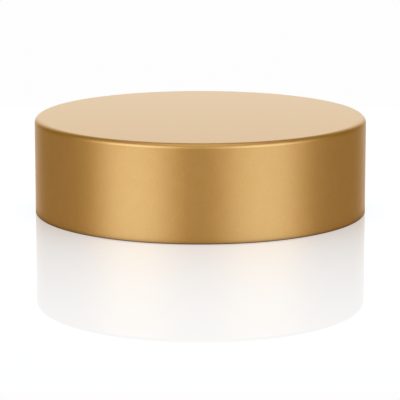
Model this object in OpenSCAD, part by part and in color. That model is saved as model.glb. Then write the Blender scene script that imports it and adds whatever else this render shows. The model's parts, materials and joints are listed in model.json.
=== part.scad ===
// Screw cap for a wide-necked jar: a drawn metal shell pressed over a moulded insert
// that carries the thread, with a foam sealing disc seated above the thread.
// Z is the cap's axis. The cap stands on the rim of its shell, which is at Z = 0.

/* [Shell] */
// Outer diameter of the shell
shell_d = 61; // [56:0.5:80]
// Height of the shell, from its rim to its crown
shell_h = 17.75; // [16:0.05:30]
// Thickness of the drawn sheet
sheet_t = 0.45; // [0.3:0.05:0.7]
// Outer radius of the shoulder between wall and crown
shoulder_r = 1; // [0.5:0.05:2]
// Radius on the outer edge of the rim
rim_r = 0.2; // [0.05:0.05:0.25]
// Radius on the inner edge of the rim
rim_inner_r = 0.1; // [0.05:0.05:0.2]

/* [Insert] */
// Thickness of the insert's wall behind the thread
insert_wall = 1.3; // [1:0.1:2.5]
// Thickness of the insert's top panel
panel_t = 1.2; // [0.8:0.1:2]
// How far the insert's rim is set back inside the shell
rim_setback = 0.4; // [0.1:0.1:1]
// Radius on the insert's outer top corner
insert_corner_r = 1; // [0.6:0.1:1.2]
// Radius between the insert's wall and its top panel, inside
insert_fillet_r = 0.25; // [0.1:0.05:0.3]
// Radius on the outer edge of the insert's rim
insert_rim_r = 0.3; // [0.1:0.05:0.4]
// Width of the sloped lead-in at the mouth
mouth_chamfer = 0.5; // [0.2:0.1:0.6]

/* [Crush ribs] */
// Number of ribs that grip the shell
rib_count = 36; // [12:1:72]
// How far a rib stands out from the insert
rib_proud = 0.12; // [0.05:0.01:0.13]
// Radius of a rib's round back
rib_r = 0.4; // [0.3:0.05:0.5]
// Height of the plain wall below the ribs
rib_foot = 2; // [1:0.5:4]
// Height of the plain wall above the ribs
rib_head = 2; // [1.5:0.5:4]

/* [Thread] */
// Rise of the thread in one turn
pitch = 4.23; // [3.2:0.01:4.8]
// How far the thread stands in from the wall
thread_depth = 1.1; // [0.6:0.05:1.4]
// Width of the thread's crest
crest_w = 1.2; // [0.8:0.05:1.6]
// Slope of each flank, measured from the level
flank_angle = 30; // [10:1:40]
// Turns of thread at full depth
full_turns = 1.25; // [1:0.05:1.7]
// Part of a turn over which each end of the thread fades into the wall
fade_turns = 0.25; // [0.1:0.05:0.3]
// Height of the plain wall between the insert's rim and the thread
mouth_land = 1.1; // [0.8:0.1:2]

/* [Sealing disc] */
// Thickness of the foam disc
disc_t = 1.5; // [0.8:0.1:2]
// Radius on the edges of the disc
disc_edge_r = 0.15; // [0.05:0.05:0.3]

/* [Clearances] */
// Gap all round between the insert and the shell
insert_gap = 0.15; // [0.13:0.01:0.3]
// Film of glue between the insert and the shell's crown
glue_t = 0.05; // [0.02:0.01:0.1]
// Gap all round between the disc and the insert's wall
disc_gap = 0.3; // [0.3:0.05:0.6]

/* [Hidden] */
$fn = 192;

least_corner_r = 0.05;                   // no inside corner of the sheet is sharper

// Sizes that follow from the ones above
shell_r = shell_d / 2;
bore_r = shell_r - sheet_t;              // inside of the shell's wall
crown_z = shell_h - sheet_t;             // underside of the shell's crown
bore_corner_r = max(shoulder_r - sheet_t, least_corner_r);
insert_r = bore_r - insert_gap;
insert_top_z = crown_z - glue_t;
panel_z = insert_top_z - panel_t;        // underside of the insert's top panel
root_r = insert_r - insert_wall;         // the wall that the thread stands on
crest_r = root_r - thread_depth;
disc_r = root_r - disc_gap;
disc_z = panel_z - disc_t;               // face of the disc that meets the jar

// The ridge is swept a little past its crest, and a bore trims it to a true cylinder
trim = 0.2;
bite = 0.5;                              // how deep the ridge's back is sunk in the wall
fade_sink = 0.1;                         // how deep each end finishes in the wall
rings_per_turn = 96;
total_turns = full_turns + 2 * fade_turns;
ring_count = round(total_turns * rings_per_turn);
root_w = crest_w + 2 * thread_depth * tan(flank_angle);
thread_z = rim_setback + mouth_land + root_w / 2;
thread_start = -45 - 360 * fade_turns;   // full depth begins between +X and -Y
past = 1;                                // how far a cutter runs past what it cuts

// What is cut away to round a corner at [x, y]. The solid lies towards sx and sy, each 1 or -1.
module round_corner(x, y, sx, sy, r) {
    difference() {
        translate([x + (sx < 0 ? -r : -past), y + (sy < 0 ? -r : -past)]) square(r + past);
        translate([x + sx * r, y + sy * r]) circle(r);
    }
}

// Half section of the shell, drawn from one disc of sheet: crown, shoulder and straight wall
module shell_section() {
    difference() {
        square([shell_r, shell_h]);
        round_corner(shell_r, shell_h, -1, -1, shoulder_r);
        round_corner(shell_r, 0, -1, 1, rim_r);
        difference() {
            translate([0, -past]) square([bore_r, crown_z + past]);
            round_corner(bore_r, crown_z, -1, -1, bore_corner_r);
        }
        round_corner(bore_r, 0, 1, 1, rim_inner_r);
    }
}

// Half section of the insert without its thread and ribs
module insert_section() {
    difference() {
        translate([0, rim_setback]) square([insert_r, insert_top_z - rim_setback]);
        round_corner(insert_r, insert_top_z, -1, -1, insert_corner_r);
        round_corner(insert_r, rim_setback, -1, 1, insert_rim_r);
        difference() {
            translate([0, rim_setback - past]) square([root_r, panel_z - rim_setback + past]);
            round_corner(root_r, panel_z, -1, -1, insert_fillet_r);
        }
        mouth_slope();
    }
}

// What is cut away to slope the mouth, so that the jar's neck finds its way in
module mouth_slope() {
    reach = mouth_chamfer + past;
    polygon([
        [root_r - past, rim_setback - past],
        [root_r + reach, rim_setback - past],
        [root_r - past, rim_setback + reach]
    ]);
}

// One rib after another round the insert, each a rod sunk into the wall
module crush_ribs() {
    foot_z = rim_setback + rib_foot;
    for (i = [0 : rib_count - 1])
        rotate(i * 360 / rib_count)
            translate([insert_r + rib_proud - rib_r, 0, foot_z])
                cylinder(r = rib_r, h = insert_top_z - rib_head - foot_z);
}

// How full the ridge is at a turn t along it: 0 at its ends, 1 along its full depth
function ramp(u) = u * u * (3 - 2 * u);
function fullness(t) = ramp(min(1, t / fade_turns, (total_turns - t) / fade_turns));

// The four corners of the ridge at a turn t: back top, crest top, crest foot, back foot
function ridge_ring(t) =
    let (
        swept_r = crest_r - trim,
        inner_r = swept_r + (1 - fullness(t)) * (root_r + fade_sink - swept_r),
        outer_r = root_r + bite,
        inner_w = crest_w - 2 * trim * tan(flank_angle),
        outer_w = inner_w + 2 * (outer_r - inner_r) * tan(flank_angle),
        a = thread_start + 360 * t,
        z = thread_z + pitch * t
    ) [
        [outer_r * cos(a), outer_r * sin(a), z + outer_w / 2],
        [inner_r * cos(a), inner_r * sin(a), z + inner_w / 2],
        [inner_r * cos(a), inner_r * sin(a), z - inner_w / 2],
        [outer_r * cos(a), outer_r * sin(a), z - outer_w / 2]
    ];

// The ridge of the thread: right-handed, one start
module ridge() {
    rings = [for (i = [0 : ring_count]) ridge_ring(i * total_turns / ring_count)];
    last = 4 * ring_count;
    sides = [
        for (i = [0 : ring_count - 1], k = [0 : 3])
            let (a = 4 * i + k, b = 4 * i + (k + 1) % 4)
                each [[a, b, b + 4], [a, b + 4, a + 4]]
    ];
    ends = [[3, 2, 1, 0], [last, last + 1, last + 2, last + 3]];
    polyhedron([for (ring = rings) each ring], concat(sides, ends), convexity = 8);
}

// The ridge with its crest bored to size
module thread() {
    top_z = thread_z + pitch * total_turns + root_w;
    difference() {
        ridge();
        cylinder(r = crest_r, h = top_z);
    }
}

module outer_shell() {
    color([0.80, 0.62, 0.35]) rotate_extrude() shell_section();
}

module threaded_insert() {
    color([0.93, 0.93, 0.91]) {
        rotate_extrude() insert_section();
        crush_ribs();
        thread();
    }
}

module sealing_disc() {
    color([0.97, 0.97, 0.95]) rotate_extrude() difference() {
        translate([0, disc_z]) square([disc_r, disc_t]);
        round_corner(disc_r, panel_z, -1, -1, disc_edge_r);
        round_corner(disc_r, disc_z, -1, 1, disc_edge_r);
    }
}

outer_shell();
threaded_insert();
sealing_disc();
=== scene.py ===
"""A jar's screw cap on a glossy white table.

The cap is three pieces: a drawn aluminium shell anodised in satin gold, the moulded white
insert that carries the thread, and the foam disc that seals the jar. Lengths are in metres.
"""

import json
import math

import bmesh
import bpy
import numpy as np
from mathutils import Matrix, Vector


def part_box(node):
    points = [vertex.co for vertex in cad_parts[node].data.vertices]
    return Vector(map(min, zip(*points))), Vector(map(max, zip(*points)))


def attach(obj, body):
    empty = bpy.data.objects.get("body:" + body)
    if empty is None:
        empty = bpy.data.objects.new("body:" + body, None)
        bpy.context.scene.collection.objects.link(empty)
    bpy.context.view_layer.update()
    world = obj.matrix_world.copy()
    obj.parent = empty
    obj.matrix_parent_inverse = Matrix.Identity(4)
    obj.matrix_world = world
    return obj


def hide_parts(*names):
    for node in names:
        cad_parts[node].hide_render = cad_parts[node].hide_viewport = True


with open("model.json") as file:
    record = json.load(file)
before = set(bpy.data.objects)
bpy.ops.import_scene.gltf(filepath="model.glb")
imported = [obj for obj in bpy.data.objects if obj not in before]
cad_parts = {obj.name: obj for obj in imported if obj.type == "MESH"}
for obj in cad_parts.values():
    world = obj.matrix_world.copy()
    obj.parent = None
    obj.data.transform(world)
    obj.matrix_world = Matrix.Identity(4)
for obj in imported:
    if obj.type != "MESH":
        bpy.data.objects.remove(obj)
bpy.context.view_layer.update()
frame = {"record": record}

MM = 0.001

# Shell, as drawn from one disc of sheet
SHEET = 0.45 * MM
SHOULDER_RADIUS = 1.0 * MM
SHOULDER_STEPS = 14
RIM_RADIUS = 0.2 * MM
RIM_STEPS = 6
RIM_INNER_RADIUS = 0.1 * MM
RIM_INNER_STEPS = 4
SHELL_SIDES = 512
SHELL_SMOOTH = 40                # degrees between two faces, under which they shade as one

# Insert and thread, right-handed with one start
INSERT_WALL = 1.3 * MM
PANEL = 1.2 * MM
MOUTH_SLOPE = 0.5 * MM
INSERT_RIM_RADIUS = 0.3 * MM
INSERT_RIM_STEPS = 5
INSERT_TOP_RADIUS = 1.0 * MM
INSERT_TOP_STEPS = 8
INSERT_FILLET = 0.25 * MM
INSERT_FILLET_STEPS = 4
INSERT_SMOOTH = 35
PITCH = 4.23 * MM
CREST = 1.2 * MM
FLANK_ANGLE = math.radians(30)
FULL_TURNS = 1.25
FADE_TURNS = 0.25
MOUTH_LAND = 1.1 * MM
THREAD_START = math.radians(-135)
THREAD_ROUND = 0.18 * MM         # how far each corner of the thread's section is cut back
THREAD_ROUND_STEPS = 3
STEPS_PER_TURN = 720
SECTION_TURNS = 6                # turns of the section, which cover the wall from end to end
TURNS_BELOW = 2                  # how many of them start below the thread

# Crush ribs between insert and shell
RIB_COUNT = 36
RIB_PROUD = 0.12 * MM
RIB_BACK = 0.4 * MM
RIB_FOOT = 2.0 * MM
RIB_HEAD = 2.0 * MM
RIB_END = 0.05 * MM

# Foam disc, stamped from sheet
DISC_EDGE = 0.15 * MM
DISC_EDGE_STEPS = 4
DISC_SIDES = 384
DISC_SMOOTH = 40

# Modelling
HOLD = 0.12 * MM                 # a flat face's outer strip, which keeps its shading flat
CLOSE = 0.004 * MM               # two heights nearer than this are the same
ON_RING = 4 * CLOSE              # and so are two distances from the axis nearer than this
SAME_POINT = 1e-7
LEVEL = 0.99999                  # the least upward part of a level face's normal
ROUND = 0.5                      # a bevel's profile that is part of a circle

# Satin gold on the shell. The scales are in cells for each metre
GOLD_GRAIN = {"Fine Scale": 3800, "Broad Scale": 500, "Broad Share": 0.3}
GOLD_TONES = ((0.747, 0.519, 0.207), (0.809, 0.575, 0.271))
GOLD_ROUGHNESS = (0.39, 0.42)
GOLD_BUMP = (0.05, 0.02 * MM)    # strength, and depth
SEAL_WEIGHT = 0.5                # the clear sealed skin of the anodising
SEAL_ROUGHNESS = 0.4
SEAL_IOR = 1.5

# White polypropylene of the insert
PLASTIC_GRAIN = {"Fine Scale": 3500, "Broad Scale": 150, "Broad Share": 0.5}
PLASTIC_TONES = ((0.82, 0.82, 0.8), (0.86, 0.86, 0.845))
PLASTIC_ROUGHNESS = (0.33, 0.42)
PLASTIC_BUMP = (0.15, 0.02 * MM)
MILKINESS = 0.15
MILKY_RADIUS = (0.6, 0.6, 0.5)
MILKY_DEPTH = 1 * MM

# Foam of the disc
FOAM_GRAIN = {"Fine Scale": 2500, "Broad Scale": 200, "Broad Share": 0.3}
FOAM_TONES = ((0.86, 0.86, 0.84), (0.91, 0.91, 0.895))
FOAM_ROUGHNESS = (0.7, 0.85)
FOAM_BUMP = (0.35, 0.05 * MM)
FOAM_CELLS = 3200

# Noise of the fine texture, and the middle range that most of it lies in
FINE_DETAIL = 3.0
BROAD_DETAIL = 4.0
NOISE_RANGE = (0.3, 0.7)

# Table, and how bright it is to the eye and to each material
TABLE_SIZE = 8
WHITE = 0.988                    # of the table and of the surround, to the eye
BLACK = (0.0, 0.0, 0.0)
TABLE_IOR = 1.49
TABLE_FADE = 50 * MM             # how far from the cap its reflection in the table dies away
MIRROR_TO_METAL = 0.7            # how much of the room the metal sees in the table
TABLE_TO_METAL = (0.53, 0.373, 0.272)
TABLE_TO_PLASTIC = 0.8

# Shade on the table, as the metal sees it
RIM_SHADE = 2.4 * MM             # how far from the rim the table is in the cap's own shade
RIM_SHADE_COLOUR = (0.08, 0.03, 0.0)
FRONT_SHADE = 0.25               # how much darker the table is before and behind the foot
FRONT_SHADE_REACH = 7 * MM       # how far from the foot that shade fades

# Shade on the table, as the eye sees it
FOOT_SHADE = 0.04                # how dark the table is before and behind the foot
FOOT_SHADE_BESIDE = 0.22         # and how much darker beside it
FOOT_SHADE_COLOUR = (0.35, 0.15, 0.0)
FOOT_SHADE_REACH = 6.5 * MM      # how far from the foot that shade fades

# What the cap sees of the room: dim all round, with a lit wall behind the cap and a panel
# overhead, which each add their light to the room's. Angles are in degrees
ROOM = (0.247, 0.148, 0.012)
WALL = (0.78, 0.765, 0.79)
WALL_WIDTH = 29.6                # to each side
WALL_HEIGHT = 32.3
PANEL_LIGHT = (0.67, 0.584, 0.55)
PANEL_FROM = 65
BLUR = 7                         # how softly the wall and the panel end
FIRST_BOUNCES = 2.5              # a ray under this depth comes from the eye by way of the table

# Softboxes: degrees round from the front, degrees up, and half their spread both ways
SOFTBOX_DISTANCE = 1.2
SOFTBOX_TURN = (-45.5, 44.2)
SOFTBOX_RISE = 25.5
SOFTBOX_SPREAD = (21.2, 19.5)
SOFTBOX_RADIANCE = ((1.104, 1.315, 1.61), (0.852, 1.034, 1.29))

# The wider and dimmer skirt of each softbox
SKIRT_RISE = 26
SKIRT_SPREAD = (34, 23)
SKIRT_RADIANCE = ((0.42, 0.271, 0.067), (0.522, 0.397, 0.231))

# A card that stands close behind the cap
CARD_DISTANCE = 0.12
CARD_TURN = 180
CARD_RISE = 16
CARD_SPREAD = (31, 15.5)
CARD_RADIANCE = (0.211, 0.338, 0.467)

# Camera: angles in degrees, lens and sensor in millimetres
CAMERA_DISTANCE = 15.0           # in radii of the cap
CAMERA_ELEVATION = 11.53
CAMERA_PITCH = 11.304
CAMERA_SIDE = -0.063 * MM
LENS = 221.61
SENSOR = 36
CLIP_START = 0.01


# ---------------------------------------------------------------- modelling by hand

def start_piece(name):
    """Names the primitive that was just added and opens it for editing."""
    piece = bpy.context.object
    piece.name = name
    piece.data.name = name
    bpy.ops.object.transform_apply(location=True, rotation=True, scale=True)
    bpy.ops.object.mode_set(mode="EDIT")
    return piece


def pick(kind, test):
    """Selects the vertices, edges or faces that pass the test, and nothing else."""
    bpy.ops.mesh.select_mode(type=kind)
    bpy.ops.mesh.select_all(action="DESELECT")
    mesh = bmesh.from_edit_mesh(bpy.context.object.data)
    items = {"VERT": mesh.verts, "EDGE": mesh.edges, "FACE": mesh.faces}[kind]
    for item in items:
        if test(item):
            item.select_set(True)
    mesh.select_flush_mode()
    bmesh.update_edit_mesh(bpy.context.object.data)


def from_axis(point):
    return math.hypot(point.x, point.y)


def pick_ring(radius, z):
    """Selects the edges of the circle with that radius at that height."""
    def on_ring(edge):
        return all(
            abs(v.co.z - z) < CLOSE and abs(from_axis(v.co) - radius) < ON_RING
            for v in edge.verts
        )
    pick("EDGE", on_ring)


def pick_open_ring(z):
    """Selects the open edges at that height, and sets them exactly level."""
    pick("EDGE", lambda e: e.is_boundary and all(abs(v.co.z - z) < CLOSE for v in e.verts))
    bpy.ops.transform.resize(value=(1, 1, 0), center_override=(0, 0, z))


def pick_faces(direction, z):
    """Selects the level faces at that height whose normals point up, 1, or down, -1."""
    def level(face):
        flat = face.normal.z * direction > LEVEL
        return flat and all(abs(v.co.z - z) < CLOSE for v in face.verts)
    pick("FACE", level)


def round_ring(radius, z, corner, steps):
    """Rounds the edge along the circle with that radius at that height."""
    pick_ring(radius, z)
    bpy.ops.mesh.bevel(offset=corner, segments=steps, affect="EDGES", profile=ROUND)


def hold_flat(direction, z):
    """Insets a level face, so that its shading stays flat up to its edge."""
    pick_faces(direction, z)
    bpy.ops.mesh.inset(thickness=HOLD)


def cut_level(z, keep=None):
    """Cuts the whole mesh at that height, and keeps what lies above or below if asked."""
    bpy.ops.mesh.select_all(action="SELECT")
    bpy.ops.mesh.bisect(
        plane_co=(0, 0, z), plane_no=(0, 0, 1),
        clear_inner=keep == "above", clear_outer=keep == "below", threshold=CLOSE / 2,
    )


def carry_ring(radius, z, stations):
    """Extrudes the selected ring from one (radius, height) to the next."""
    for next_radius, next_z in stations:
        bpy.ops.mesh.extrude_edges_move(TRANSFORM_OT_translate={"value": (0, 0, next_z - z)})
        scale = next_radius / radius
        bpy.ops.transform.resize(value=(scale, scale, 1), center_override=(0, 0, 0))
        radius, z = next_radius, next_z


def arc(radius, z, r, start, end, steps):
    """Stations along a round corner about (radius, z), from one angle to another."""
    angles = [math.radians(start + (end - start) * i / steps) for i in range(1, steps + 1)]
    return [(radius + r * math.cos(a), z + r * math.sin(a)) for a in angles]


def close_piece(smooth_angle):
    """Merges doubles, turns the faces outwards, leaves edit mode and shades the piece."""
    bpy.ops.mesh.select_mode(type="VERT")
    bpy.ops.mesh.select_all(action="SELECT")
    bpy.ops.mesh.remove_doubles(threshold=SAME_POINT)
    bpy.ops.mesh.normals_make_consistent(inside=False)
    bpy.ops.object.mode_set(mode="OBJECT")
    bpy.ops.object.shade_smooth_by_angle(angle=math.radians(smooth_angle))


def read_points(mesh):
    """The places of a mesh's vertices, one row each."""
    points = np.empty(len(mesh.vertices) * 3)
    mesh.vertices.foreach_get("co", points)
    return points.reshape(-1, 3)


def write_points(mesh, points):
    mesh.vertices.foreach_set("co", points.ravel())
    mesh.update()


def hand_over(piece, node, material):
    """The piece stands for its CAD node, rides with the cap and takes its finish."""
    piece.data.materials.clear()
    piece.data.materials.append(material)
    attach(piece, "root")
    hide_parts(node)


# ---------------------------------------------------------------- the three pieces

def drawn_shell():
    """A disc of sheet drawn into a cup: flat crown, round shoulder, straight wall."""
    low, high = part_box("outer_shell")
    radius, height = high.x, high.z - low.z
    bpy.ops.object.select_all(action="DESELECT")
    bpy.ops.mesh.primitive_cylinder_add(
        vertices=SHELL_SIDES, radius=radius, depth=height, location=(0, 0, low.z + height / 2)
    )
    shell = start_piece("gold_shell")
    pick_faces(-1, low.z)
    bpy.ops.mesh.delete(type="FACE")

    round_ring(radius, high.z, SHOULDER_RADIUS, SHOULDER_STEPS)
    hold_flat(1, high.z)
    cut_level(high.z - SHOULDER_RADIUS - HOLD)
    cut_level(low.z + RIM_RADIUS + HOLD)
    bpy.ops.mesh.select_all(action="SELECT")
    bpy.ops.mesh.normals_make_consistent(inside=False)
    bpy.ops.object.mode_set(mode="OBJECT")

    wall = shell.modifiers.new("sheet", "SOLIDIFY")
    wall.thickness = SHEET
    wall.offset = -1
    wall.use_even_offset = True
    bpy.ops.object.modifier_apply(modifier=wall.name)

    bpy.ops.object.mode_set(mode="EDIT")
    round_ring(radius, low.z, RIM_RADIUS, RIM_STEPS)
    round_ring(radius - SHEET, low.z, RIM_INNER_RADIUS, RIM_INNER_STEPS)
    close_piece(SHELL_SMOOTH)
    return shell


def thread_section(wall, depth, centre):
    """One pitch of the wall's section as a line of edges, with the ridge in the middle."""
    foot = CREST / 2 + depth * math.tan(FLANK_ANGLE)
    corners = [
        (wall, -PITCH / 2), (wall, -foot), (wall - depth, -CREST / 2),
        (wall - depth, CREST / 2), (wall, foot), (wall, PITCH / 2),
    ]
    bpy.ops.object.select_all(action="DESELECT")
    bpy.ops.mesh.primitive_plane_add(size=MM)
    piece = start_piece("white_insert")
    bpy.ops.mesh.merge(type="CENTER")
    at = Vector((corners[0][0], 0, centre + corners[0][1]))
    bpy.ops.transform.translate(value=at)
    for radius, rise in corners[1:]:
        step = Vector((radius, 0, centre + rise)) - at
        bpy.ops.mesh.extrude_vertices_move(TRANSFORM_OT_translate={"value": step})
        at += step
    pick("VERT", lambda v: abs(abs(v.co.z - centre) - PITCH / 2) > CLOSE)
    bpy.ops.mesh.bevel(offset=THREAD_ROUND, segments=THREAD_ROUND_STEPS, affect="VERTICES")
    bpy.ops.object.mode_set(mode="OBJECT")
    return piece


def fade_thread_ends(piece, wall, thread_z):
    """Presses the ridge back into the wall outside its turns, gently over each end."""
    points = read_points(piece.data)
    turn = ((np.arctan2(points[:, 1], points[:, 0]) - THREAD_START) / math.tau) % 1
    along = turn + np.round((points[:, 2] - thread_z) / PITCH - turn)
    to_end = np.minimum(along, FULL_TURNS + 2 * FADE_TURNS - along)
    share = np.clip(to_end / FADE_TURNS, 0, 1)
    share = share * share * (3 - 2 * share)
    radius = np.hypot(points[:, 0], points[:, 1])
    scale = (wall + (radius - wall) * share) / radius
    points[:, :2] *= scale[:, None]
    write_points(piece.data, points)


def raise_ribs(piece, wall, foot_z, head_z):
    """Pushes the outer wall out to a round-backed rib every few degrees."""
    points = read_points(piece.data)
    spacing = math.tau / RIB_COUNT
    angle = np.arctan2(points[:, 1], points[:, 0])
    off = (angle + spacing / 2) % spacing - spacing / 2
    radius = np.hypot(points[:, 0], points[:, 1])
    rib_axis = wall + RIB_PROUD - RIB_BACK
    half_chord = np.clip(RIB_BACK**2 - (rib_axis * np.sin(off))**2, 0, None)
    rib = rib_axis * np.cos(off) + np.sqrt(half_chord)
    between = (points[:, 2] > foot_z - CLOSE) & (points[:, 2] < head_z + CLOSE)
    raised = between & (np.abs(radius - wall) < ON_RING) & (rib > radius)
    points[raised, :2] *= (rib[raised] / radius[raised])[:, None]
    write_points(piece.data, points)


def threaded_insert():
    """The moulded cup that carries the thread, turned from its section like a nut."""
    low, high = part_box("threaded_insert")
    neck = next(m for m in frame["record"]["mounts"] if m["name"] == "neck_thread")
    outer = high.x - RIB_PROUD
    wall = outer - INSERT_WALL
    depth = wall - neck["dims"]["r_mm"] * MM
    panel_z = high.z - PANEL
    foot = CREST / 2 + depth * math.tan(FLANK_ANGLE)
    thread_z = low.z + MOUTH_LAND + foot

    # The section starts well below the thread, so that its turns cover the whole wall
    centre = thread_z - PITCH * (TURNS_BELOW + THREAD_START / math.tau)
    piece = thread_section(wall, depth, centre)
    turns = piece.modifiers.new("turns", "SCREW")
    turns.axis = "Z"
    turns.angle = math.tau
    turns.screw_offset = PITCH
    turns.iterations = SECTION_TURNS
    turns.steps = STEPS_PER_TURN
    turns.render_steps = STEPS_PER_TURN
    turns.use_merge_vertices = True
    turns.merge_threshold = SAME_POINT
    bpy.ops.object.modifier_apply(modifier=turns.name)
    fade_thread_ends(piece, wall, thread_z)

    bpy.ops.object.mode_set(mode="EDIT")
    slope_z = low.z + MOUTH_SLOPE
    fillet_z = panel_z - INSERT_FILLET
    cut_level(slope_z, keep="above")
    cut_level(fillet_z, keep="below")

    # Down over the mouth's slope, round the rim and up the outer wall to the top
    rib_foot_z = low.z + RIB_FOOT
    rib_head_z = high.z - RIB_HEAD
    rim_z = low.z + INSERT_RIM_RADIUS
    top_z = high.z - INSERT_TOP_RADIUS
    pick_open_ring(slope_z)
    carry_ring(wall, slope_z, [
        (wall + MOUTH_SLOPE, low.z),
        *arc(outer - INSERT_RIM_RADIUS, rim_z, INSERT_RIM_RADIUS, -90, 0, INSERT_RIM_STEPS),
        (outer, rib_foot_z - RIB_END),
        (outer, rib_foot_z),
        (outer, rib_head_z),
        (outer, rib_head_z + RIB_END),
        (outer, top_z),
        *arc(outer - INSERT_TOP_RADIUS, top_z, INSERT_TOP_RADIUS, 0, 90, INSERT_TOP_STEPS),
    ])
    bpy.ops.mesh.edge_face_add()

    # Up round the fillet to the underside of the panel
    pick_open_ring(fillet_z)
    fillet = arc(wall - INSERT_FILLET, fillet_z, INSERT_FILLET, 0, 90, INSERT_FILLET_STEPS)
    carry_ring(wall, fillet_z, fillet)
    bpy.ops.mesh.edge_face_add()
    close_piece(INSERT_SMOOTH)
    raise_ribs(piece, outer, rib_foot_z, rib_head_z)
    return piece


def sealing_disc():
    """A disc of closed-cell foam, stamped out so that its edges are a little soft."""
    low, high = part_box("sealing_disc")
    bpy.ops.object.select_all(action="DESELECT")
    bpy.ops.mesh.primitive_cylinder_add(
        vertices=DISC_SIDES, radius=high.x, depth=high.z - low.z,
        location=(0, 0, (low.z + high.z) / 2),
    )
    disc = start_piece("foam_disc")
    for z in (low.z, high.z):
        round_ring(high.x, z, DISC_EDGE, DISC_EDGE_STEPS)
    for direction, z in ((-1, low.z), (1, high.z)):
        hold_flat(direction, z)
    close_piece(DISC_SMOOTH)
    return disc


# ---------------------------------------------------------------- nodes

def add_math(nodes, links, operation, *values):
    """A math node on numbers or on other nodes' outputs."""
    node = nodes.new("ShaderNodeMath")
    node.operation = operation
    for socket, value in zip(node.inputs, values):
        if isinstance(value, (int, float)):
            socket.default_value = value
        else:
            links.new(value, socket)
    return node.outputs["Value"]


def mix_colour(nodes, links, factor, low, high):
    """A colour between two, each given as a colour or as another node's output."""
    node = nodes.new("ShaderNodeMix")
    node.data_type = "RGBA"
    links.new(factor, node.inputs["Factor"])
    for name, value in (("A", low), ("B", high)):
        if isinstance(value, tuple):
            node.inputs[name].default_value = (*value, 1)
        else:
            links.new(value, node.inputs[name])
    return node.outputs["Result"]


def ranged(nodes, links, source, low, high):
    """The noise's middle range carried to low and high."""
    node = nodes.new("ShaderNodeMapRange")
    node.inputs["From Min"].default_value = NOISE_RANGE[0]
    node.inputs["From Max"].default_value = NOISE_RANGE[1]
    node.inputs["To Min"].default_value = low
    node.inputs["To Max"].default_value = high
    links.new(source, node.inputs["Value"])
    return node.outputs["Result"]


def above(nodes, links, value, edge, blur):
    """1 where the value is above the edge and 0 below it, with a soft step between."""
    step = nodes.new("ShaderNodeMapRange")
    step.interpolation_type = "SMOOTHSTEP"
    step.inputs["From Min"].default_value = edge - blur
    step.inputs["From Max"].default_value = edge + blur
    links.new(value, step.inputs["Value"])
    return step.outputs["Result"]


def below(nodes, links, value, edge, blur):
    """1 where the value is below the edge and 0 above it, with a soft step between."""
    return above(nodes, links, add_math(nodes, links, "MULTIPLY", value, -1.0), -edge, blur)


def fading(nodes, links, away, reach):
    """1 under the cap, and falling towards 0 with the distance from it."""
    fall = add_math(nodes, links, "EXPONENT", add_math(nodes, links, "DIVIDE", away, -reach))
    return add_math(nodes, links, "MINIMUM", fall, 1.0)


def seen_in_table(nodes, links, path):
    """1 for a ray that the camera sends by way of the table's polish, else 0."""
    first = add_math(nodes, links, "LESS_THAN", path.outputs["Ray Depth"], FIRST_BOUNCES)
    return add_math(nodes, links, "MULTIPLY", path.outputs["Is Singular Ray"], first)


# ---------------------------------------------------------------- materials

def new_material(name):
    """An empty material, with its nodes, its links and its output."""
    material = bpy.data.materials.new(name)
    material.use_nodes = True
    nodes = material.node_tree.nodes
    nodes.clear()
    output = nodes.new("ShaderNodeOutputMaterial")
    return material, nodes, material.node_tree.links, output


def fine_texture_group():
    """Fine mottling of a surface: a mask and a height from two sizes of noise."""
    group = bpy.data.node_groups.new("fine_texture", "ShaderNodeTree")
    for name in ("Fine Scale", "Broad Scale", "Broad Share"):
        group.interface.new_socket(name, in_out="INPUT", socket_type="NodeSocketFloat")
    for name in ("Mask", "Height"):
        group.interface.new_socket(name, in_out="OUTPUT", socket_type="NodeSocketFloat")
    nodes, links = group.nodes, group.links
    given = nodes.new("NodeGroupInput")
    made = nodes.new("NodeGroupOutput")
    place = nodes.new("ShaderNodeTexCoord")
    noises = []
    for scale, detail in (("Fine Scale", FINE_DETAIL), ("Broad Scale", BROAD_DETAIL)):
        noise = nodes.new("ShaderNodeTexNoise")
        noise.inputs["Detail"].default_value = detail
        links.new(place.outputs["Object"], noise.inputs["Vector"])
        links.new(given.outputs[scale], noise.inputs["Scale"])
        noises.append(noise)
    mix = nodes.new("ShaderNodeMix")
    links.new(given.outputs["Broad Share"], mix.inputs["Factor"])
    links.new(noises[0].outputs["Fac"], mix.inputs["A"])
    links.new(noises[1].outputs["Fac"], mix.inputs["B"])
    links.new(mix.outputs["Result"], made.inputs["Mask"])
    links.new(noises[0].outputs["Fac"], made.inputs["Height"])
    return group


def place_texture(nodes, group, grain):
    """The fine texture, placed in a material with its own scales."""
    node = nodes.new("ShaderNodeGroup")
    node.node_tree = group
    for name, value in grain.items():
        node.inputs[name].default_value = value
    return node


def mottled_shader(nodes, links, texture, tones, roughness):
    """A shader whose colour and roughness vary with the texture."""
    shader = nodes.new("ShaderNodeBsdfPrincipled")
    mask = texture.outputs["Mask"]
    tone = mix_colour(nodes, links, ranged(nodes, links, mask, 0, 1), *tones)
    links.new(tone, shader.inputs["Base Color"])
    links.new(ranged(nodes, links, mask, *roughness), shader.inputs["Roughness"])
    return shader


def add_bump(nodes, links, shader, height, strength, depth):
    bump = nodes.new("ShaderNodeBump")
    bump.inputs["Strength"].default_value = strength
    bump.inputs["Distance"].default_value = depth
    links.new(height, bump.inputs["Height"])
    links.new(bump.outputs["Normal"], shader.inputs["Normal"])


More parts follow.
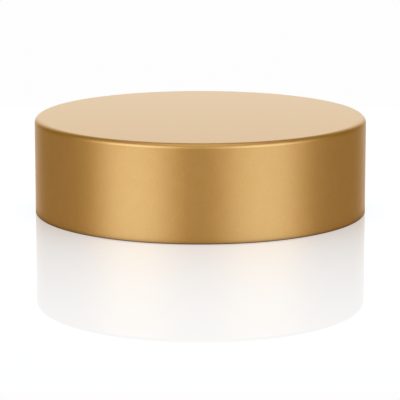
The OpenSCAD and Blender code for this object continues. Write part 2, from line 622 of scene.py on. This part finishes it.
def satin_gold(group):
    """Blasted and gold-anodised aluminium: an even satin with a very fine grain."""
    material, nodes, links, output = new_material("satin_gold_anodised")
    texture = place_texture(nodes, group, GOLD_GRAIN)
    shader = mottled_shader(nodes, links, texture, GOLD_TONES, GOLD_ROUGHNESS)
    shader.inputs["Metallic"].default_value = 1
    shader.inputs["Coat Weight"].default_value = SEAL_WEIGHT
    shader.inputs["Coat Roughness"].default_value = SEAL_ROUGHNESS
    shader.inputs["Coat IOR"].default_value = SEAL_IOR
    add_bump(nodes, links, shader, texture.outputs["Height"], *GOLD_BUMP)
    links.new(shader.outputs["BSDF"], output.inputs["Surface"])
    return material


def white_polypropylene(group):
    """Moulded polypropylene: slightly milky, with the fine texture of the mould."""
    material, nodes, links, output = new_material("white_polypropylene")
    texture = place_texture(nodes, group, PLASTIC_GRAIN)
    shader = mottled_shader(nodes, links, texture, PLASTIC_TONES, PLASTIC_ROUGHNESS)
    shader.inputs["Subsurface Weight"].default_value = MILKINESS
    shader.inputs["Subsurface Radius"].default_value = MILKY_RADIUS
    shader.inputs["Subsurface Scale"].default_value = MILKY_DEPTH
    add_bump(nodes, links, shader, texture.outputs["Height"], *PLASTIC_BUMP)
    links.new(shader.outputs["BSDF"], output.inputs["Surface"])
    return material


def foam_liner(group):
    """Closed-cell foam: matt, with fine cells under a thin skin."""
    material, nodes, links, output = new_material("foam_liner")
    texture = place_texture(nodes, group, FOAM_GRAIN)
    shader = mottled_shader(nodes, links, texture, FOAM_TONES, FOAM_ROUGHNESS)
    cells = nodes.new("ShaderNodeTexVoronoi")
    cells.inputs["Scale"].default_value = FOAM_CELLS
    place = nodes.new("ShaderNodeTexCoord")
    links.new(place.outputs["Object"], cells.inputs["Vector"])
    add_bump(nodes, links, shader, cells.outputs["Distance"], *FOAM_BUMP)
    links.new(shader.outputs["BSDF"], output.inputs["Surface"])
    return material


# ---------------------------------------------------------------- table, surround, lights, camera

def white_table():
    """A polished white table as bright as its surround. From below it is clear."""
    bpy.ops.object.select_all(action="DESELECT")
    bpy.ops.mesh.primitive_plane_add(size=TABLE_SIZE)
    table = bpy.context.object
    table.name = "table"
    material, nodes, links, output = new_material("polished_white_table")
    material.cycles.emission_sampling = "NONE"
    path = nodes.new("ShaderNodeLightPath")
    away, beside, front_or_back = round_the_cap(nodes, links)

    # The metal sees its own shade, close to its rim and further out before and behind it
    clear_of_rim = above(nodes, links, away, RIM_SHADE / 2, RIM_SHADE / 2)
    narrow = add_math(nodes, links, "MULTIPLY", front_or_back, front_or_back)
    front_fade = fading(nodes, links, away, FRONT_SHADE_REACH)
    front = add_math(nodes, links, "MULTIPLY", narrow,
                     add_math(nodes, links, "MULTIPLY", front_fade, FRONT_SHADE))
    dimmed = mix_colour(nodes, links, front, TABLE_TO_METAL, BLACK)
    to_metal = mix_colour(nodes, links, clear_of_rim, RIM_SHADE_COLOUR, dimmed)

    # The plastic sees plain white, and the eye a soft shade round the cap's foot
    to_plastic = mix_colour(
        nodes, links, path.outputs["Is Diffuse Ray"], to_metal, (TABLE_TO_PLASTIC,) * 3
    )
    deepest = add_math(nodes, links, "MULTIPLY_ADD", beside, FOOT_SHADE_BESIDE, FOOT_SHADE)
    shade = add_math(nodes, links, "MULTIPLY", deepest,
                     fading(nodes, links, away, FOOT_SHADE_REACH))
    white = mix_colour(nodes, links, shade, (WHITE,) * 3, FOOT_SHADE_COLOUR)
    to_eye = mix_colour(nodes, links, path.outputs["Is Camera Ray"], to_plastic, white)
    glow = nodes.new("ShaderNodeEmission")
    links.new(to_eye, glow.inputs["Color"])

    # To the eye the polish fades with distance from the cap. The metal sees a better mirror
    fresnel = nodes.new("ShaderNodeFresnel")
    fresnel.inputs["IOR"].default_value = TABLE_IOR
    mirror_to_eye = add_math(nodes, links, "MULTIPLY", fresnel.outputs["Fac"],
                             fading(nodes, links, away, TABLE_FADE))
    lit = add_math(nodes, links, "MULTIPLY", clear_of_rim,
                   add_math(nodes, links, "SUBTRACT", 1.0, front))
    mirror_to_metal = add_math(nodes, links, "MULTIPLY", path.outputs["Is Glossy Ray"],
                               add_math(nodes, links, "MULTIPLY", lit, MIRROR_TO_METAL))
    share = nodes.new("ShaderNodeMix")
    links.new(path.outputs["Is Camera Ray"], share.inputs["Factor"])
    links.new(add_math(nodes, links, "MAXIMUM", fresnel.outputs["Fac"], mirror_to_metal),
              share.inputs["A"])
    links.new(mirror_to_eye, share.inputs["B"])
    gloss = nodes.new("ShaderNodeBsdfGlossy")
    gloss.inputs["Color"].default_value = (1, 1, 1, 1)
    gloss.inputs["Roughness"].default_value = 0
    polish = nodes.new("ShaderNodeMixShader")
    links.new(share.outputs["Result"], polish.inputs["Fac"])
    links.new(glow.outputs["Emission"], polish.inputs[1])
    links.new(gloss.outputs["BSDF"], polish.inputs[2])

    clear = nodes.new("ShaderNodeBsdfTransparent")
    side = nodes.new("ShaderNodeNewGeometry")
    sides = nodes.new("ShaderNodeMixShader")
    links.new(side.outputs["Backfacing"], sides.inputs["Fac"])
    links.new(polish.outputs["Shader"], sides.inputs[1])
    links.new(clear.outputs["BSDF"], sides.inputs[2])
    links.new(sides.outputs["Shader"], output.inputs["Surface"])
    table.data.materials.append(material)


def round_the_cap(nodes, links):
    """Distance from the cap's wall, then 0 to 1: how far to its side, how far to front or back."""
    place = nodes.new("ShaderNodeTexCoord")
    level = nodes.new("ShaderNodeVectorMath")
    level.operation = "MULTIPLY"
    level.inputs[1].default_value = (1, 1, 0)
    links.new(place.outputs["Object"], level.inputs[0])
    length = nodes.new("ShaderNodeVectorMath")
    length.operation = "LENGTH"
    links.new(level.outputs["Vector"], length.inputs[0])
    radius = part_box("outer_shell")[1].x
    away = add_math(nodes, links, "SUBTRACT", length.outputs["Value"], radius)
    parts = nodes.new("ShaderNodeSeparateXYZ")
    links.new(place.outputs["Object"], parts.inputs["Vector"])
    shares = []
    for axis in ("X", "Y"):
        part = add_math(nodes, links, "DIVIDE", parts.outputs[axis], length.outputs["Value"])
        shares.append(add_math(nodes, links, "MULTIPLY", part, part))
    return away, *shares


def surround():
    """White to the eye. The cap itself sees a dim room with a lit wall and a panel overhead."""
    world = bpy.data.worlds.new("surround")
    bpy.context.scene.world = world
    world.use_nodes = True
    world.cycles.sampling_method = "NONE"
    nodes, links = world.node_tree.nodes, world.node_tree.links
    nodes.clear()
    output = nodes.new("ShaderNodeOutputWorld")
    background = nodes.new("ShaderNodeBackground")
    place = nodes.new("ShaderNodeTexCoord")
    parts = nodes.new("ShaderNodeSeparateXYZ")
    links.new(place.outputs["Generated"], parts.inputs["Vector"])
    rise = add_math(nodes, links, "ARCSINE", parts.outputs["Z"])
    turn = add_math(nodes, links, "ABSOLUTE", add_math(
        nodes, links, "ARCTAN2", parts.outputs["X"], parts.outputs["Y"]))
    blur = math.radians(BLUR)
    wall = add_math(nodes, links, "MULTIPLY",
                    below(nodes, links, turn, math.radians(WALL_WIDTH), blur),
                    below(nodes, links, rise, math.radians(WALL_HEIGHT), blur))
    overhead = above(nodes, links, rise, math.radians(PANEL_FROM), blur)
    room = mix_colour(nodes, links, wall, ROOM, tuple(a + b for a, b in zip(ROOM, WALL)))
    room = mix_colour(nodes, links, overhead, room,
                      tuple(a + b for a, b in zip(ROOM, PANEL_LIGHT)))
    path = nodes.new("ShaderNodeLightPath")
    by_eye = add_math(nodes, links, "MAXIMUM", path.outputs["Is Camera Ray"],
                      seen_in_table(nodes, links, path))
    links.new(mix_colour(nodes, links, by_eye, room, (WHITE,) * 3), background.inputs["Color"])
    links.new(background.outputs["Background"], output.inputs["Surface"])


def softbox(name, turn, rise, distance, spread, radiance):
    """A rectangular light aimed at the cap and unseen by the camera."""
    a, e = math.radians(turn), math.radians(rise)
    way = Vector((math.sin(a) * math.cos(e), -math.cos(a) * math.cos(e), math.sin(e)))
    light = bpy.data.lights.new(name, "AREA")
    light.shape = "RECTANGLE"
    light.size, light.size_y = (2 * distance * math.tan(math.radians(s)) for s in spread)
    light.color = radiance
    light.energy = math.pi * light.size * light.size_y
    lamp = bpy.data.objects.new(name, light)
    bpy.context.scene.collection.objects.link(lamp)
    lamp.location = way * distance
    lamp.rotation_euler = way.to_track_quat("Z", "Y").to_euler()
    lamp.visible_camera = False


def studio():
    """Two softboxes in front, left and right, each with a dim skirt, and a card behind."""
    for side, turn, radiance in zip(("left", "right"), SOFTBOX_TURN, SOFTBOX_RADIANCE):
        softbox(side + "_softbox", turn, SOFTBOX_RISE, SOFTBOX_DISTANCE, SOFTBOX_SPREAD, radiance)
    for side, turn, radiance in zip(("left", "right"), SOFTBOX_TURN, SKIRT_RADIANCE):
        softbox(side + "_skirt", turn, SKIRT_RISE, SOFTBOX_DISTANCE, SKIRT_SPREAD, radiance)
    softbox("back_card", CARD_TURN, CARD_RISE, CARD_DISTANCE, CARD_SPREAD, CARD_RADIANCE)


def camera():
    """A long lens a little above the table, square to the front of the cap."""
    low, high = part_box("outer_shell")
    distance = CAMERA_DISTANCE * high.x
    e = math.radians(CAMERA_ELEVATION)
    data = bpy.data.cameras.new("camera")
    data.lens = LENS
    data.sensor_width = SENSOR
    data.clip_start = CLIP_START
    view = bpy.data.objects.new("camera", data)
    bpy.context.scene.collection.objects.link(view)
    view.location = (CAMERA_SIDE, -distance * math.cos(e), low.z + distance * math.sin(e))
    view.rotation_euler = (math.radians(90 - CAMERA_PITCH), 0, 0)
    bpy.context.scene.camera = view
    bpy.context.scene.view_settings.view_transform = "Standard"


# ---------------------------------------------------------------- the scene

fine_texture = fine_texture_group()
shell = drawn_shell()
hand_over(shell, "outer_shell", satin_gold(fine_texture))
insert = threaded_insert()
hand_over(insert, "threaded_insert", white_polypropylene(fine_texture))
disc = sealing_disc()
hand_over(disc, "sealing_disc", foam_liner(fine_texture))
white_table()
surround()
studio()
camera()
